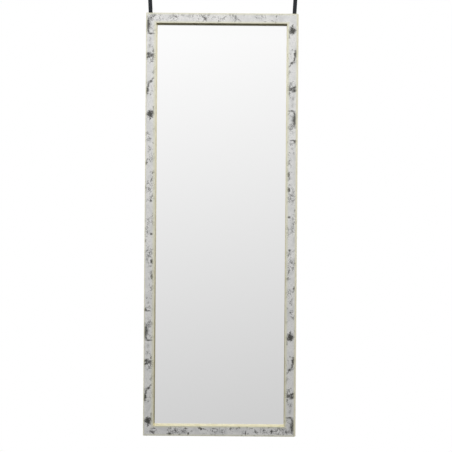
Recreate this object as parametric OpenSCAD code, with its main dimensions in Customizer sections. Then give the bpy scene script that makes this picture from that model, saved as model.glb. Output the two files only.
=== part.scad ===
// Over the door mirror: a slim framed mirror that hangs by two webbing straps from hooks on the top of a door.
// The mirror faces -Y and the door is behind it. The origin is on the door's top edge, in the middle of its
// thickness and midway between the two hooks. All sizes are in millimetres.

/* [Frame] */
// Overall width of the frame, at its back
frame_w = 380; // [300:1:600]
// Overall height of the frame
frame_h = 1050; // [700:5:1500]
// Width of each rail, from its outer edge at the back to the sight edge
rail_w = 30; // [29:0.5:60]
// Height of the marble face above the glass
lip_d = 10; // [8:0.5:20]
// How far the rail's outer side slopes in from the back to the face
side_slope = 3.5; // [1:0.5:8]
// Height of the square foot below the sloping side
side_foot = 2; // [1:0.5:4]
// Small chamfer between the sloping side and the face
edge_chamfer = 0.6; // [0.5:0.1:2]
// Width of the gold bevel along the inner edge of the face
bevel_w = 0.8; // [0.5:0.1:5]
// Drop of the gold bevel
bevel_d = 0.6; // [0.5:0.1:3]
// Lean of the inner wall between the bevel and the glass
wall_run = 1; // [0:0.1:2]
// Thickness of the marble print film
film_t = 0.3; // [0.2:0.05:0.6]

/* [Glass and back] */
// Width of the rebate that holds the glass
rebate_w = 7; // [6.5:0.5:9]
// Thickness of the mirror glass
glass_t = 3; // [2:0.5:5]
// Thickness of the packing card
card_t = 1.5; // [0.5:0.5:3]
// Thickness of the backing board
board_t = 3; // [2:0.5:5]
// Space left behind the board
back_recess = 2.5; // [2:0.5:4]
// Gap round the edges of the glass, card and board
pane_gap = 0.6; // [0.3:0.1:1.5]
// Retaining points along each side rail
side_points = 4; // [2:1:8]
// Retaining points along the top rail and along the bottom rail
end_points = 2; // [1:1:4]
// Width of a retaining point
point_w = 6; // [4:0.5:8]
// Length of a retaining point over the board
point_reach = 7; // [5:0.5:12]
// Length of a retaining point inside the rail
point_bite = 5; // [3:0.5:8]
// Thickness of a retaining point
point_t = 0.5; // [0.3:0.1:1]

/* [Corner nails] */
// Length of each leg of a V-nail
nail_leg = 8; // [5:0.5:9]
// Thickness of a V-nail
nail_t = 0.5; // [0.3:0.1:1]
// Depth of a V-nail in the rail
nail_depth = 8; // [4:0.5:12]
// Distance of a V-nail's corner from the two outer edges
nail_in = 15; // [13:0.5:18]

/* [Ring and plate] */
// Radius of the ring's wire
wire_r = 1.25; // [1:0.05:1.5]
// Play of the webbing along the ring's straight bar, at each edge
ring_play = 0.5; // [0.3:0.1:2]
// Distance between the ring's two bars, centre to centre
ring_pitch = 11; // [10:0.5:16]
// Bend radius of the ring's corners, at the middle of the wire
ring_bend = 2.75; // [2.5:0.05:3]
// Distance of the ring's pivot below the top of the frame
ring_drop = 30; // [26:1:60]
// Clearance between the frame's back and what turns on the ring
ring_clear = 0.5; // [0.3:0.1:2]
// Gap between the plate's eye and the bend of the ring, at each end
eye_gap = 1; // [0.3:0.1:2]
// Thickness of the plate's sheet
plate_t = 1.1; // [0.8:0.1:1.5]
// Radial play of the wire in the eye
eye_play = 0.08; // [0.05:0.01:0.1]
// Radius of a plate screw's shank
screw_r = 1.4; // [1:0.1:1.6]
// Length of a plate screw in the rail
screw_l = 10; // [6:0.5:13]
// Radius of a plate screw's head
screw_head_r = 2.8; // [2.2:0.1:3.2]
// Height of a plate screw's head
screw_head_h = 1.6; // [1:0.1:2]
// Distance of the first screw below the eye
screw_in = 9; // [8:0.5:11]
// Distance between a plate's two screws
screw_pitch = 16; // [10:0.5:20]
// Length of the plate beyond its second screw
plate_end = 7; // [4:0.5:12]

/* [Straps] */
// Width of the webbing
strap_w = 10; // [8:0.5:15]
// Thickness of the webbing
strap_t = 1.2; // [0.8:0.1:1.8]
// How far each strap leans outwards as it rises, in degrees
strap_splay = 3; // [0:0.5:5]
// Play of the webbing round the ring's wire and round the hook's bar
loop_play = 0.35; // [0.3:0.05:0.5]
// Length over which the webbing's two plies close up beyond a loop
loop_neck = 14; // [10:1:20]
// Length of the sewn end above the ring
sewn_l = 24; // [18:1:30]
// Webbing left above the slider at the top of its travel
strap_spare = 9; // [1:1:300]
// Loose end left below the slider at the bottom of its travel
tail_l = 17; // [5:1:20]

/* [Sliders] */
// Height of the slider's middle above the top of the frame
slider_up = 52; // [46:1:300]
// Travel of the slider each way
slider_travel = 16; // [4:1:18]
// Height of the slider
slider_h = 14; // [12:0.5:15]
// Width of each side of the slider
slider_side = 2.5; // [2:0.1:3]
// Radius of the slider's bars
slider_bar_r = 1.2; // [0.9:0.1:1.4]
// Play between the slider and the webbing
slider_play = 0.3; // [0.2:0.05:0.5]

/* [Hooks] */
// Gap between the legs of a hook, inside the steel
hook_gap = 46; // [30:0.5:60]
// Thickness of the hook's steel
hook_t = 1.5; // [1.5:0.1:1.9]
// Width of the steel on each side of the strap's slot
hook_side = 5; // [3:0.5:12]
// Length of the front leg, from the door's top edge to the bar
front_leg = 46; // [42:1:80]
// Length of the back leg below the door's top edge
back_leg = 32; // [28:1:60]
// Inner radius of the hook's bends
hook_bend = 2.5; // [1.5:0.1:3]
// Radius of the round bar that carries the strap
bar_r = 1.25; // [1:0.05:1.4]
// Height of the slot over the bar
slot_h = 5; // [4:0.5:6]
// Play of the webbing in the slot, at each edge
slot_play = 1; // [0.5:0.1:2]
// Outward flare of the back leg's foot
hook_flare = 2; // [0:0.5:4]
// Length of the flared foot
flare_l = 6; // [4:0.5:10]
// Clearance between the webbing's loop and the door
door_clear = 0.45; // [0.3:0.05:2]
// Distance of the pads from the hook's bends and ends
pad_in = 4; // [3:0.5:5]

/* [Bumpers] */
// Radius of a bumper at the frame
bumper_r = 7; // [5:0.5:9]
// Radius of a bumper at the door
bumper_tip_r = 6; // [4:0.5:9]
// Distance of each bumper from the nearer side of the frame
bumper_in = 60; // [40:5:120]

/* [Hidden] */
$fn = 48;

gold = "#d8cfa8";
marble = "#d9d9da";
steel = "#b9bcc0";
black = "#2b3036";

// Cuts run this far past the surface that they open
over = 1;
// Clearance of what is pressed or screwed into a rail
fit_gap = 0.05;
// Step of the arcs in drawn outlines, in degrees
arc_step = 15;

// The ring clears the frame's back by its thickest wrap, and the foam pads clear the door by the strap's loop
ring_off = wire_r + max(eye_play + plate_t, loop_play + strap_t) + ring_clear;
ring_in_w = strap_w + 2 * (ring_play + ring_bend - wire_r);
plate_w = strap_w + 2 * (ring_play - eye_gap);
plate_l = screw_in + screw_pitch + plate_end;
slot_w = strap_w + 2 * slot_play;
hook_w = slot_w + 2 * hook_side;
pad_t = bar_r + loop_play + strap_t - hook_t / 2 + door_clear;

// Depths along Y: the hook's front leg, ring, strap and slider share one plane
hang_y = -(hook_gap + hook_t) / 2;
door_face_y = -hook_gap / 2 + pad_t;
back_y = hang_y - ring_off;
bumper_t = door_face_y - back_y;

// Heights along Z, down from the door's top edge
strap_rise = slider_up + slider_travel + slider_h / 2 + strap_spare + loop_neck;
bar_z = -front_leg;
top_z = bar_z - strap_rise;
mid_z = top_z - frame_h / 2;
bottom_z = top_z - frame_h;
pivot_z = top_z - ring_drop;
ring_top_z = pivot_z + ring_pitch;
slider_z = top_z + slider_up;
tail_z = slider_z - slider_travel - slider_h / 2 - tail_l;
strap_reach = bar_z - ring_top_z;

// The straps lie on the middle of the land behind the side rails
land_w = rail_w - rebate_w;
strap_x = frame_w / 2 - land_w / 2;
splay_run = tan(strap_splay);
hook_x = strap_x + splay_run * strap_reach;
slider_x = strap_x + splay_run * (slider_z - ring_top_z);

// Heights within the rail, measured from its back
board_v = back_recess;
card_v = board_v + board_t;
glass_v = card_v + card_t;
shelf_v = glass_v + glass_t;
rail_d = shelf_v + lip_d;
film_v = rail_d - film_t;
film_out = side_slope + edge_chamfer;
film_in = rail_w - wall_run - bevel_w;

pane_w = frame_w - 2 * land_w - 2 * pane_gap;
pane_h = frame_h - 2 * land_w - 2 * pane_gap;

function arc(centre, r, from, to) = let (n = ceil(abs(to - from) / arc_step))
    [for (i = [0 : n]) centre + r * [cos(from + (to - from) * i / n), sin(from + (to - from) * i / n)]];

// The section of a rail: x runs inwards from the outer edge and -y towards the face
rail_section = [[0, 0], [0, -side_foot], [side_slope, -film_v + edge_chamfer], [film_out, -film_v],
    [film_in, -film_v], [rail_w - wall_run, -film_v + bevel_d], [rail_w, -shelf_v],
    [land_w, -shelf_v], [land_w, 0]];

// Keeps what lies between the two mitre cuts of a rail of the given length
module mitred(length) {
    half = length / 2;
    intersection() {
        children();
        translate([0, over, 0])
            rotate([90, 0, 0])
                linear_extrude(rail_d + 2 * over)
                    polygon([[-over, -half - over], [rail_w + over, rail_w + over - half],
                        [rail_w + over, half - rail_w - over], [-over, half + over]]);
    }
}

module rail_bar(length) {
    mitred(length)
        translate([0, 0, -length / 2 - over])
            linear_extrude(length + 2 * over)
                polygon(rail_section);
}

module film_strip(length) {
    mitred(length)
        translate([film_out, -rail_d, -length / 2])
            cube([film_in - film_out, film_t, length]);
}

// Places one side of the frame, drawn as a left side, on its own edge
module on_left() {
    translate([-frame_w / 2, back_y, mid_z]) children();
}

module on_right() {
    mirror([1, 0, 0]) on_left() children();
}

module on_top() {
    translate([0, back_y, top_z]) rotate([0, 90, 0]) children();
}

module on_bottom() {
    translate([0, back_y, bottom_z]) rotate([0, -90, 0]) children();
}

module both_sides() {
    children();
    mirror([1, 0, 0]) children();
}

// One V-nail, with its corner on the mitre; grow is the clearance that its slot adds
module v_nail(grow) {
    size = nail_leg + 2 * grow;
    thin = nail_t + 2 * grow;
    translate([nail_in - nail_leg - grow, -nail_depth - grow, nail_in - thin + grow])
        cube([size, nail_depth + 2 * grow, thin]);
    translate([nail_in - thin + grow, -nail_depth - grow, nail_in - nail_leg - grow])
        cube([thin, nail_depth + 2 * grow, size]);
}

module v_nails(grow) {
    both_sides() {
        translate([-frame_w / 2, back_y, bottom_z]) v_nail(grow);
        translate([-frame_w / 2, back_y, top_z]) mirror([0, 0, 1]) v_nail(grow);
    }
}

// A row of retaining points along a rail of the given length, in the rail's own frame
module point_row(length, count, grow) {
    pitch = (length - 2 * rail_w) / count;
    for (i = [0 : count - 1])
        translate([land_w - point_bite - grow, -board_v - grow, pitch * (i + 0.5 - count / 2) - point_w / 2 - grow])
            cube([point_bite + point_reach + 2 * grow, point_t + 2 * grow, point_w + 2 * grow]);
}

module points(grow) {
    on_left() point_row(frame_h, side_points, grow);
    on_right() point_row(frame_h, side_points, grow);
    on_top() point_row(frame_w, end_points, grow);
    on_bottom() point_row(frame_w, end_points, grow);
}

// Where the screws of the left plate stand
module at_left_screws() {
    for (i = [0 : 1])
        translate([-strap_x, back_y, pivot_z - screw_in - screw_pitch * i]) rotate([90, 0, 0]) children();
}

module rail_cuts() {
    v_nails(fit_gap);
    points(fit_gap);
    both_sides()
        at_left_screws()
            translate([0, 0, -over]) cylinder(r = screw_r + fit_gap, h = screw_l + fit_gap + over);
}

module left_rail() {
    color(gold)
        difference() {
            on_left() rail_bar(frame_h);
            rail_cuts();
        }
}

module right_rail() {
    color(gold)
        difference() {
            on_right() rail_bar(frame_h);
            rail_cuts();
        }
}

module top_rail() {
    color(gold)
        difference() {
            on_top() rail_bar(frame_w);
            rail_cuts();
        }
}

module bottom_rail() {
    color(gold)
        difference() {
            on_bottom() rail_bar(frame_w);
            rail_cuts();
        }
}

module left_marble_film() {
    color(marble) on_left() film_strip(frame_h);
}

module right_marble_film() {
    color(marble) on_right() film_strip(frame_h);
}

module top_marble_film() {
    color(marble) on_top() film_strip(frame_w);
}

module bottom_marble_film() {
    color(marble) on_bottom() film_strip(frame_w);
}

module corner_nails() {
    color(steel) v_nails(0);
}

// A flat pane in the rebate, from height v over the rail's back
module pane(v, thick) {
    translate([-pane_w / 2, back_y - v - thick, mid_z - pane_h / 2]) cube([pane_w, thick, pane_h]);
}

module mirror_glass() {
    color("#dfe3e4") pane(glass_v, glass_t);
}

module packing_card() {
    color("#a98f6b") pane(card_v, card_t);
}

module backing_board() {
    color("#8d6b47") pane(board_v, board_t);
}

module retaining_points() {
    color(steel) points(0);
}

// The hanger plate: a flat sheet with an eye rolled round the ring's lower bar
module ring_plate() {
    eye_r = wire_r + eye_play;
    translate([-strap_x, back_y, pivot_z])
        difference() {
            union() {
                translate([-plate_w / 2, 0, -plate_l]) cube([plate_w, plate_t, plate_l]);
                translate([-plate_w / 2, 0, -eye_r - plate_t]) cube([plate_w, ring_off, plate_t]);
                translate([-plate_w / 2, ring_off, 0])
                    rotate([0, 90, 0]) cylinder(r = eye_r + plate_t, h = plate_w);
            }
            translate([-plate_w / 2 - over, ring_off, 0])
                rotate([0, 90, 0]) cylinder(r = eye_r, h = plate_w + 2 * over);
            for (i = [0 : 1])
                translate([0, plate_t + over, -screw_in - screw_pitch * i])
                    rotate([90, 0, 0]) cylinder(r = screw_r + fit_gap, h = plate_t + 2 * over);
        }
}

module left_ring_plate() {
    color(steel) ring_plate();
}

module right_ring_plate() {
    color(steel) mirror([1, 0, 0]) ring_plate();
}

module plate_screws() {
    color(steel)
        both_sides()
            at_left_screws() {
                translate([0, 0, -plate_t]) cylinder(r = screw_r, h = plate_t + screw_l);
                translate([0, 0, -plate_t - screw_head_h])
                    cylinder(r1 = screw_head_r - screw_head_h / 2, r2 = screw_head_r, h = screw_head_h);
            }
}

module door_bumpers() {
    color("#3a3a3c")
        both_sides()
            for (z = [top_z - land_w / 2, bottom_z + land_w / 2])
                translate([-frame_w / 2 + bumper_in, back_y, z])
                    rotate([-90, 0, 0]) cylinder(r1 = bumper_r, r2 = bumper_tip_r, h = bumper_t);
}

// A rectangular ring of round wire: two upright sides, two bars and four bends
module wire_ring() {
    half_w = ring_in_w / 2 + wire_r;
    half_h = ring_pitch / 2;
    for (side = [-1, 1]) {
        translate([side * half_w, 0, ring_bend - half_h]) cylinder(r = wire_r, h = ring_pitch - 2 * ring_bend);
        translate([ring_bend - half_w, 0, side * half_h])
            rotate([0, 90, 0]) cylinder(r = wire_r, h = 2 * (half_w - ring_bend));
    }
    for (turn = [0 : 90 : 270]) {
        wide = turn % 180 == 0 ? half_w : half_h;
        high = turn % 180 == 0 ? half_h : half_w;
        rotate([0, -turn, 0])
            translate([wide - ring_bend, 0, high - ring_bend])
                rotate([90, 0, 0])
                    rotate_extrude(angle = 90) translate([ring_bend, 0]) circle(r = wire_r);
    }
}

module left_ring() {
    color(steel) translate([-strap_x, hang_y, pivot_z + ring_pitch / 2]) wire_ring();
}

module right_ring() {
    color(steel) translate([strap_x, hang_y, pivot_z + ring_pitch / 2]) wire_ring();
}

// The webbing's middle line in depth and height, from the sewn end round the ring's bar, up the front,
// over the hook's bar, and down the back to the loose end
ply_y = strap_t / 2 + fit_gap;
ring_loop_r = wire_r + loop_play + strap_t / 2;
bar_loop_r = bar_r + loop_play + strap_t / 2;
strap_line = concat(
    [[ply_y, sewn_l], [ply_y, loop_neck]],
    arc([0, 0], ring_loop_r, 0, -180),
    [[-ply_y, loop_neck], [-ply_y, strap_reach - loop_neck]],
    arc([0, strap_reach], bar_loop_r, 180, 0),
    [[ply_y, strap_reach - loop_neck], [ply_y, tail_z - ring_top_z]]);

// A ribbon along the line: each point gets one point on either side, on the mitre of its two stretches
function direction(line, i) = let (a = line[max(i - 1, 0)], b = line[min(i + 1, len(line) - 1)],
    before = i == 0 ? b - line[i] : line[i] - a, after = i == len(line) - 1 ? line[i] - a : b - line[i])
    (before / norm(before) + after / norm(after));
function edge_point(line, i, side) = let (d = direction(line, i), u = d / norm(d), stretch = 2 / norm(d))
    line[i] + side * strap_t / 2 * stretch * [-u[1], u[0]];

// The webbing as one closed solid that leans sideways with its height
module webbing() {
    n = len(strap_line);
    outline = concat([for (i = [0 : n - 1]) edge_point(strap_line, i, 1)],
        [for (i = [n - 1 : -1 : 0]) edge_point(strap_line, i, -1)]);
    m = 2 * n;
    corners = [for (x = [-strap_w / 2, strap_w / 2], p = outline) [x - splay_run * p[1], p[0], p[1]]];
    ends = [for (i = [0 : n - 2]) [i, i + 1, m - 2 - i, m - 1 - i]];
    far = [for (quad = ends) [for (k = [3 : -1 : 0]) quad[k] + m]];
    walls = [for (i = [0 : m - 1]) [i, i + m, (i + 1) % m + m, (i + 1) % m]];
    translate([-strap_x, hang_y, ring_top_z]) polyhedron(corners, concat(ends, far, walls));
}

module left_strap() {
    color(black) webbing();
}

module right_strap() {
    color(black) mirror([1, 0, 0]) webbing();
}

// The slider: two sides, two bars in front of the webbing and one behind it
module slider() {
    gap_w = strap_w + 2 * slider_play;
    depth = strap_t + fit_gap + slider_play + slider_bar_r;
    thick = 2 * (depth + slider_bar_r);
    bar_l = gap_w + 2 * slider_side;
    translate([-slider_x, hang_y, slider_z])
        rotate([0, -strap_splay, 0]) {
            for (side = [-1, 1])
                translate([side * (gap_w + slider_side) / 2 - slider_side / 2, -thick / 2, -slider_h / 2])
                    cube([slider_side, thick, slider_h]);
            for (bar = [[-depth, slider_bar_r - slider_h / 2], [-depth, slider_h / 2 - slider_bar_r], [depth, 0]])
                translate([-bar_l / 2, bar[0], bar[1]])
                    rotate([0, 90, 0]) cylinder(r = slider_bar_r, h = bar_l);
        }
}

module left_slider() {
    color(black) slider();
}

module right_slider() {
    color(black) mirror([1, 0, 0]) slider();
}

// The hook's bent strip in depth and height, as one outline
hook_out_y = hook_gap / 2 + hook_t;
hook_in_y = hook_gap / 2;
bend_y = hook_in_y - hook_bend;
bend_z = pad_t - hook_bend;
hook_outline = concat(
    [[hook_out_y + hook_flare, -back_leg], [hook_out_y, flare_l - back_leg]],
    arc([bend_y, bend_z], hook_bend + hook_t, 0, 90),
    arc([-bend_y, bend_z], hook_bend + hook_t, 90, 180),
    [[-hook_out_y, bar_z], [-hook_in_y, bar_z]],
    arc([-bend_y, bend_z], hook_bend, 180, 90),
    arc([bend_y, bend_z], hook_bend, 90, 0),
    [[hook_in_y, flare_l - back_leg], [hook_in_y + hook_flare, -back_leg]]);

// Extrudes an outline of depth and height sideways, about the middle
module sideways(width) {
    translate([-width / 2, 0, 0]) rotate([90, 0, 90]) linear_extrude(width) children();
}

module hook() {
    translate([-hook_x, 0, 0])
        union() {
            difference() {
                sideways(hook_w) polygon(hook_outline);
                translate([-slot_w / 2, -hook_out_y - over, bar_z - over])
                    cube([slot_w, hook_t + 2 * over, over + bar_r + slot_h]);
            }
            translate([-hook_w / 2, hang_y, bar_z]) rotate([0, 90, 0]) cylinder(r = bar_r, h = hook_w);
        }
}

module left_hook() {
    color(steel) hook();
}

module right_hook() {
    color(steel) mirror([1, 0, 0]) hook();
}

// Three flat foam pads: under the top, inside the back leg and inside the front leg
module hook_pads() {
    wide = hook_w - pad_in;
    top_l = hook_gap - 2 * (hook_bend + pad_in);
    leg_top = pad_t - hook_bend - pad_in;
    back_foot = flare_l - back_leg;
    front_foot = bar_z + bar_r + slot_h + pad_in;
    translate([-hook_x - wide / 2, 0, 0]) {
        translate([0, -top_l / 2, 0]) cube([wide, top_l, pad_t]);
        translate([0, hook_in_y - pad_t, back_foot]) cube([wide, pad_t, leg_top - back_foot]);
        translate([0, -hook_in_y, front_foot]) cube([wide, pad_t, leg_top - front_foot]);
    }
}

module left_hook_pads() {
    color("#3a3a3c") hook_pads();
}

module right_hook_pads() {
    color("#3a3a3c") mirror([1, 0, 0]) hook_pads();
}

left_rail();
right_rail();
top_rail();
bottom_rail();
left_marble_film();
right_marble_film();
top_marble_film();
bottom_marble_film();
corner_nails();
mirror_glass();
packing_card();
backing_board();
retaining_points();
left_ring_plate();
right_ring_plate();
plate_screws();
door_bumpers();
left_ring();
right_ring();
left_strap();
right_strap();
left_slider();
right_slider();
left_hook();
right_hook();
left_hook_pads();
right_hook_pads();
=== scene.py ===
# %% [markdown]
# # Over the door mirror
#
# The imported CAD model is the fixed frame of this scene: it holds the size and the place of each part.
# This file gives every part its finish, and it models again the few parts whose real look needs more than
# a machined solid: the woven straps, the moulded sliders, the screws, the rubber bumpers and the foam
# pads. Lengths are in metres, as Blender's are; the patterns of the materials are worked out in
# millimetres.

# %% Load the frame
import math

import bmesh
import bpy
from mathutils import Matrix, Vector


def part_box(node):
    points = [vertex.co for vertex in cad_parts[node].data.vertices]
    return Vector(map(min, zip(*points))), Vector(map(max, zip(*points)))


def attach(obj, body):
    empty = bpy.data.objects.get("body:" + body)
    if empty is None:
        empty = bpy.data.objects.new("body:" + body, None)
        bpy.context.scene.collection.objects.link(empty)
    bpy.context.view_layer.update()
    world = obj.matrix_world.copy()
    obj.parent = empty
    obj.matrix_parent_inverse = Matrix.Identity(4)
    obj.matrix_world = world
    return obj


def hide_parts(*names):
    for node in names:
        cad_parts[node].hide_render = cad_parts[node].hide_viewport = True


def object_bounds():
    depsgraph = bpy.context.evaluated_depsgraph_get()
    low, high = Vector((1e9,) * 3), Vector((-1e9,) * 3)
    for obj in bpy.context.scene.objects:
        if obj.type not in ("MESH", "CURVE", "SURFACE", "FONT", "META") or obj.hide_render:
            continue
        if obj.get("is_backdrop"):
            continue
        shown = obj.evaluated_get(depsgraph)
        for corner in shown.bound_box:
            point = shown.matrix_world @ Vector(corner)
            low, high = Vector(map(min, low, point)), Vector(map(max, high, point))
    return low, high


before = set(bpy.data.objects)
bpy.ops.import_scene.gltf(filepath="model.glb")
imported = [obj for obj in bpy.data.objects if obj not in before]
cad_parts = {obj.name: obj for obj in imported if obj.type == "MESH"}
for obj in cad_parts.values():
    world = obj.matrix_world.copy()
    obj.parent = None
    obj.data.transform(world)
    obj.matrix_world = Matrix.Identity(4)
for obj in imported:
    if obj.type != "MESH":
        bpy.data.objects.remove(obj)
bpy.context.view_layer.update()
MM = 0.001

# %% [markdown]
# The frame gives the places that the rest is built on. The face of the frame is the plane of the marble
# film, and the photograph's scale holds in that plane.

# %% Places taken from the frame
film_low, film_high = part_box("top_marble_film")
left_low, left_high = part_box("left_rail")
face_y = film_low.y
back_y = left_high.y
mirror_top = left_high.z
mirror_bottom = left_low.z
face_centre = Vector((0, face_y, (mirror_top + mirror_bottom) / 2))
print("face plane y:", round(face_y / MM, 2), "mm")
print("middle of the face z:", round(face_centre.z / MM, 1), "mm")

# %% [markdown]
# ## Camera
#
# The photograph shows all four edges of the frame nearly parallel, so the sensor was parallel to the
# mirror. The left inner edge shows its side wall and the right one hardly does, so the lens stood to the
# right, at mid height. The picture was framed with a lens shift, as for a building. A slight turn
# clockwise of the whole picture is the camera's roll. Blender's own camera helpers use another picture
# size, so the shift is worked out here from the projection itself.

# %% Camera
PICTURE = 452
MM_PER_PIXEL = 2.464
FACE_CENTRE_PIXEL = (220.3, 224.7)
DISTANCE = 1.65
STAND_RIGHT = 0.12
ROLL = math.radians(0.44)


def add_object(name, data):
    """A new object in the scene: a camera, a lamp or a mesh."""
    made = bpy.data.objects.new(name, data)
    bpy.context.scene.collection.objects.link(made)
    return made


view_width = PICTURE * MM_PER_PIXEL * MM
camera_data = bpy.data.cameras.new("camera")
camera_data.sensor_width = 36.0
camera_data.lens = camera_data.sensor_width * DISTANCE / view_width
camera = add_object("camera", camera_data)
camera.location = face_centre + Vector((STAND_RIGHT, -DISTANCE, 0))
camera.rotation_euler = (math.radians(90), -ROLL, 0)
bpy.context.scene.camera = camera
bpy.context.view_layer.update()

seen = camera.matrix_world.inverted() @ face_centre
focal = camera_data.lens / camera_data.sensor_width
camera_data.shift_x = seen.x / -seen.z * focal - (FACE_CENTRE_PIXEL[0] / PICTURE - 0.5)
camera_data.shift_y = seen.y / -seen.z * focal - (0.5 - FACE_CENTRE_PIXEL[1] / PICTURE)
print("lens", round(camera_data.lens, 1), "mm")
print("shift", round(camera_data.shift_x, 3), round(camera_data.shift_y, 3))

# %% [markdown]
# ## Helpers for materials
#
# Colours are written as the sRGB hex values that a paint card would show, and one function turns them to
# the linear numbers that the renderer works in. One small function adds a node, sets its properties,
# values and colours, and makes its links, so that a material reads from top to bottom.
#
# A socket goes by its name, or by its number where a node has several sockets of one name. A Mix node's
# factor and its two colours are 0, 6 and 7, and its colour comes out at 2. A Map Range node turns its
# value, 0, from the range 1 to 2 into the range 3 to 4; what isn't given runs from 0 to 1.

# %% Colours and nodes
def linear(hex_colour):
    """The linear RGBA of an sRGB colour such as #e3dcb4."""
    parts = [int(hex_colour[i:i + 2], 16) / 255 for i in (1, 3, 5)]
    return tuple(p / 12.92 if p <= 0.04045 else ((p + 0.055) / 1.055) ** 2.4 for p in parts) + (1.0,)


def add(tree, kind, sockets=None, out=None, **settings):
    """Adds a node with its properties. Sockets maps an input to a value, to a hex colour or to the output
    it is linked from. Gives the node's output called out, or the node itself."""
    made = tree.nodes.new(kind if kind.startswith("Node") else "ShaderNode" + kind)
    for name, value in settings.items():
        setattr(made, name, value)
    for key, value in (sockets or {}).items():
        if isinstance(value, bpy.types.NodeSocket):
            tree.links.new(value, made.inputs[key])
        else:
            made.inputs[key].default_value = linear(value) if isinstance(value, str) else value
    return made if out is None else made.outputs[out]


SMOOTH = {"interpolation_type": "SMOOTHSTEP"}
# A noise seldom leaves this range, so a Map Range node often starts from it
NOISE_RANGE = {1: 0.3, 2: 0.7}
print("sRGB #808080 is", round(linear("#808080")[0], 3), "in linear light")

# %% [markdown]
# Every pattern is placed in millimetres on the part itself. The object coordinates of a part stay with it
# when it moves, and a pattern's scale is then one over its real size in millimetres.

# %% A new material
def new_material(name):
    """An empty material and its node tree."""
    material = bpy.data.materials.new(name)
    material.use_nodes = True
    material.node_tree.nodes.clear()
    return material, material.node_tree


def millimetres(tree):
    """The place on the part in millimetres."""
    place = add(tree, "TexCoord", out="Object")
    return add(tree, "VectorMath", {0: place, "Scale": 1 / MM}, "Vector", operation="SCALE")


def surface(material, **sockets):
    """Ends a material with its surface. Sockets are named with underscores for spaces."""
    tree = material.node_tree
    named = {key.replace("_", " "): value for key, value in sockets.items()}
    add(tree, "OutputMaterial", {"Surface": add(tree, "BsdfPrincipled", named, "BSDF")})
    print(material.name, "has", len(tree.nodes), "nodes")
    return material


print("one unit of a pattern is", MM, "m on the part")

# %% [markdown]
# ## The marble print
#
# The face of the moulding is wrapped with a printed film. Such a film is printed from a cylinder, so its
# pattern comes back after one turn of it: on this frame the same ink blot is on each side rail twice, 756
# mm apart. Both side rails are cut from one lane of the roll, and one is upside down to the other. The
# top and the bottom rail are cut from the lanes beside it.
#
# So one node group draws one turn of the cylinder, in millimetres along and across the roll, and four
# materials place it on the four rails. Each ink stroke is a soft ellipse. Noise bends the coordinates
# before the strokes are drawn and breaks up their ink, which gives the ragged, feathered look of marble
# veins.

# %% Ink of the side rails
ROLL_REPEAT = 756.0
ROLL_SEAM = -60.0
TOP_LANE = 30.0
BOTTOM_LANE = 60.0
STROKE_SOFTNESS = 1.55

# Along, across, length, width (mm), turn (degrees) and strength of each stroke
blot = [
    (0, 13, 17, 16, 0, 1.0), (-1, 6, 10, 4, 90, 0.75), (-10, 12, 13, 4, 0, 0.6),
    (-12, 13, 5, 5, 0, 0.6), (5, 19, 13, 5, 20, 0.65), (15, 21, 13, 3.5, 12, 0.6),
    (-6, 17, 10, 6, 120, 0.5)]
streak = [
    (58, 5, 22, 7, 4, 0.85), (50, 4, 9, 4, 0, 0.5), (72, 7.5, 18, 6, 8, 0.68),
    (80, 13, 8, 7, 60, 0.72), (87, 18, 13, 4, 45, 0.55), (47, 13, 4, 5, 0, 0.5),
    (64, 16, 14, 6, 0, 0.24)]
claw = [
    (141, 8, 16, 6, 68, 0.75), (148, 6.5, 14, 7, 68, 0.85), (145, 15, 13, 9, 85, 0.68),
    (156, 19, 12, 3.5, 12, 0.55), (146, 9, 13, 12, 0, 0.42), (167, 10, 19, 9, 20, 0.32),
    (183, 12, 17, 9, -15, 0.28)]
corner = [
    (198, 14, 18, 4, 88, 0.72), (205, 6, 16, 6, -20, 0.66), (221, 5.5, 36, 10, 2, 0.74),
    (222, 9, 30, 11, 0, 0.45), (236, 13, 16, 5, 25, 0.45)]
dashes = [
    (273, 4.5, 8, 8, 0, 0.85), (271, 11, 13, 3.5, 98, 0.6), (284, 4, 5, 3, 0, 0.45),
    (291, 11, 8, 6, 0, 0.38), (355, 19.5, 15, 6, -4, 0.72), (363, 17, 10, 6, 0, 0.4),
    (381, 17, 7, 4, 60, 0.45), (393, 19.5, 14, 7, 4, 0.74), (397, 6, 6, 3, 0, 0.36),
    (443, 3.5, 9, 3.5, 0, 0.6), (460, 19, 6, 7, 0, 0.75)]
ticks = [
    (497, 12, 9, 3, 90, 0.3), (474, 7, 9, 3, 60, 0.28), (543, 16, 9, 6, 0, 0.66),
    (554, 18.5, 13, 3.5, 12, 0.6), (594, 18, 12, 4, 0, 0.58), (602, 20, 6, 3, 40, 0.45),
    (611, 20, 5, 4, 0, 0.5), (616, 22, 7, 3, 40, 0.42), (636, 4, 11, 4, 4, 0.72),
    (643, 7, 9, 3, 30, 0.5), (655, 11, 10, 3, 20, 0.28), (697, 13, 7, 6, 30, 0.66),
    (704, 17, 11, 3, 40, 0.4), (719, 21, 9, 3.5, 4, 0.5), (711, 5, 5, 4, 90, 0.42),
    (684, 21, 6, 3, 0, 0.45)]
side_lane = blot + streak + claw + corner + dashes + ticks
print("the lane of the side rails has", len(side_lane), "strokes")

# %% [markdown]
# The two lanes beside it, each 30 mm on, hold the ink of the top and of the bottom rail. Their strokes
# are smaller and paler: short cracks, with a few dark knots. The whole lane of the bottom rail was then
# made a little stronger, to match the photograph.

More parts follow.
